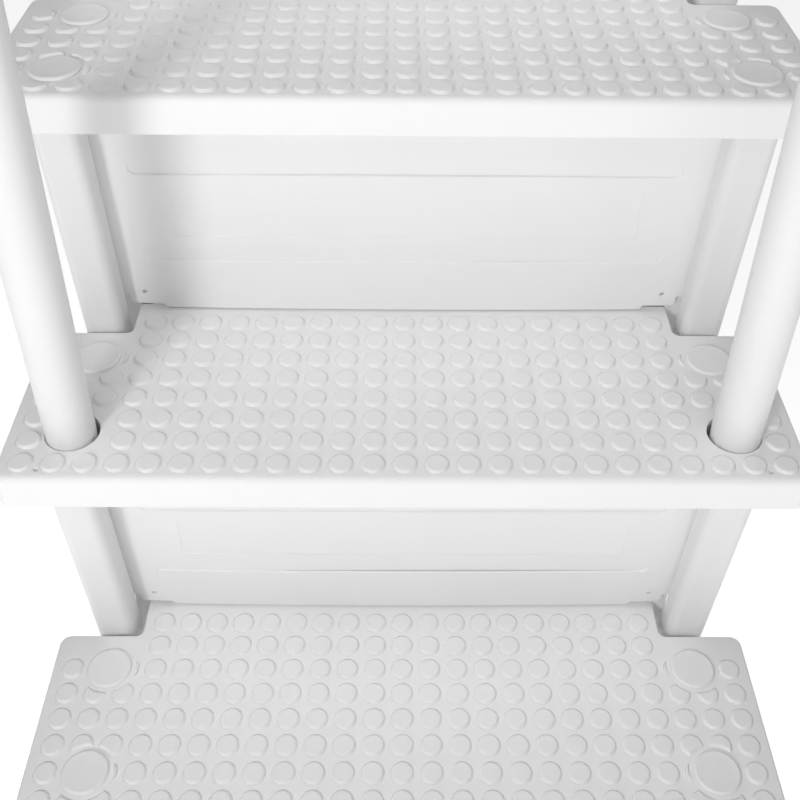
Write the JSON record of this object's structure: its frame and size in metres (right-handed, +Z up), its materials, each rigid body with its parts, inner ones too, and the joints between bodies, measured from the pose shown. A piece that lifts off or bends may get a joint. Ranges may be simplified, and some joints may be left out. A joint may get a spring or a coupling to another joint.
{
  "type": "pool ladder",
  "caption": "Step-style in-pool ladder with studded treads on leaning legs, riser panels, base rails and two lift-out handrails with deck flanges.",
  "frame": {"origin": "on the pool floor, under the middle of the bounding box", "axes": "+X to the right of someone climbing out, +Y towards the pool wall and deck, +Z up"},
  "size_m": [0.8128, 0.9944, 2.0354],
  "materials": {
    "tread_plastic": "satin moulded white, fine grain",
    "cap_plastic": "satin moulded white",
    "riser_plastic": "satin moulded white",
    "leg_plastic": "satin extruded white",
    "base_plastic": "satin moulded white",
    "rail_plastic": "satin extruded white, faint lengthwise lines",
    "flange_plastic": "satin moulded white",
    "inner_plastic": "plain moulded",
    "pad_rubber": "soft light grey vinyl",
    "screw_steel": "stainless"
  },
  "bodies": {
    "steps": {"tread_1": "tread_plastic", "tread_caps_1": "cap_plastic", "riser_1": "riser_plastic", "tread_2": "tread_plastic", "tread_caps_2": "cap_plastic", "riser_2": "riser_plastic", "tread_3": "tread_plastic", "tread_caps_3": "cap_plastic", "riser_3": "riser_plastic", "tread_4": "tread_plastic", "tread_caps_4": "cap_plastic", "riser_4": "riser_plastic", "leg_front_left_1": "leg_plastic", "leg_rear_left_1": "leg_plastic", "leg_front_left_2": "leg_plastic", "leg_rear_left_2": "leg_plastic", "leg_front_left_3": "leg_plastic", "leg_rear_left_3": "leg_plastic", "leg_front_left_4": "leg_plastic", "leg_rear_left_4": "leg_plastic", "base_rail_left": "base_plastic", "foot_pads_left": "pad_rubber", "rail_spigot_left": "inner_plastic", "leg_front_right_1": "leg_plastic", "leg_rear_right_1": "leg_plastic", "leg_front_right_2": "leg_plastic", "leg_rear_right_2": "leg_plastic", "leg_front_right_3": "leg_plastic", "leg_rear_right_3": "leg_plastic", "leg_front_right_4": "leg_plastic", "leg_rear_right_4": "leg_plastic", "base_rail_right": "base_plastic", "foot_pads_right": "pad_rubber", "rail_spigot_right": "inner_plastic", "base_crossbar_front": "base_plastic", "base_crossbar_rear": "base_plastic", "base_screws": "screw_steel", "riser_screws": "screw_steel"},
    "handrail_left": {"handrail_left_upright": "rail_plastic", "handrail_left_front_bend": "rail_plastic", "handrail_left_top": "rail_plastic", "handrail_left_rear_bend": "rail_plastic", "handrail_left_drop": "rail_plastic", "handrail_left_joiners": "inner_plastic", "handrail_left_screws": "screw_steel", "pivot_bolt_left": "screw_steel"},
    "flange_left": {"deck_flange_left": "flange_plastic"},
    "handrail_right": {"handrail_right_upright": "rail_plastic", "handrail_right_front_bend": "rail_plastic", "handrail_right_top": "rail_plastic", "handrail_right_rear_bend": "rail_plastic", "handrail_right_drop": "rail_plastic", "handrail_right_joiners": "inner_plastic", "handrail_right_screws": "screw_steel", "pivot_bolt_right": "screw_steel"},
    "flange_right": {"deck_flange_right": "flange_plastic"}
  },
  "joints": [
    {"name": "handrail_left_lift", "type": "slide", "parent": "steps", "child": "handrail_left", "axis": [0.0476, -0.1252, 0.991], "range_m": [0, 0.15]},
    {"name": "deck_flange_left_pivot", "type": "hinge", "parent": "handrail_left", "child": "flange_left", "pos_m": [-0.2756, 0.44724, 1.338], "axis": [1, 0, 0], "range_deg": [-12, 12]},
    {"name": "handrail_right_lift", "type": "slide", "parent": "steps", "child": "handrail_right", "axis": [-0.0476, -0.1252, 0.991], "range_m": [0, 0.15]},
    {"name": "deck_flange_right_pivot", "type": "hinge", "parent": "handrail_right", "child": "flange_right", "pos_m": [0.2756, 0.44724, 1.338], "axis": [1, 0, 0], "range_deg": [-12, 12]}
  ]
}
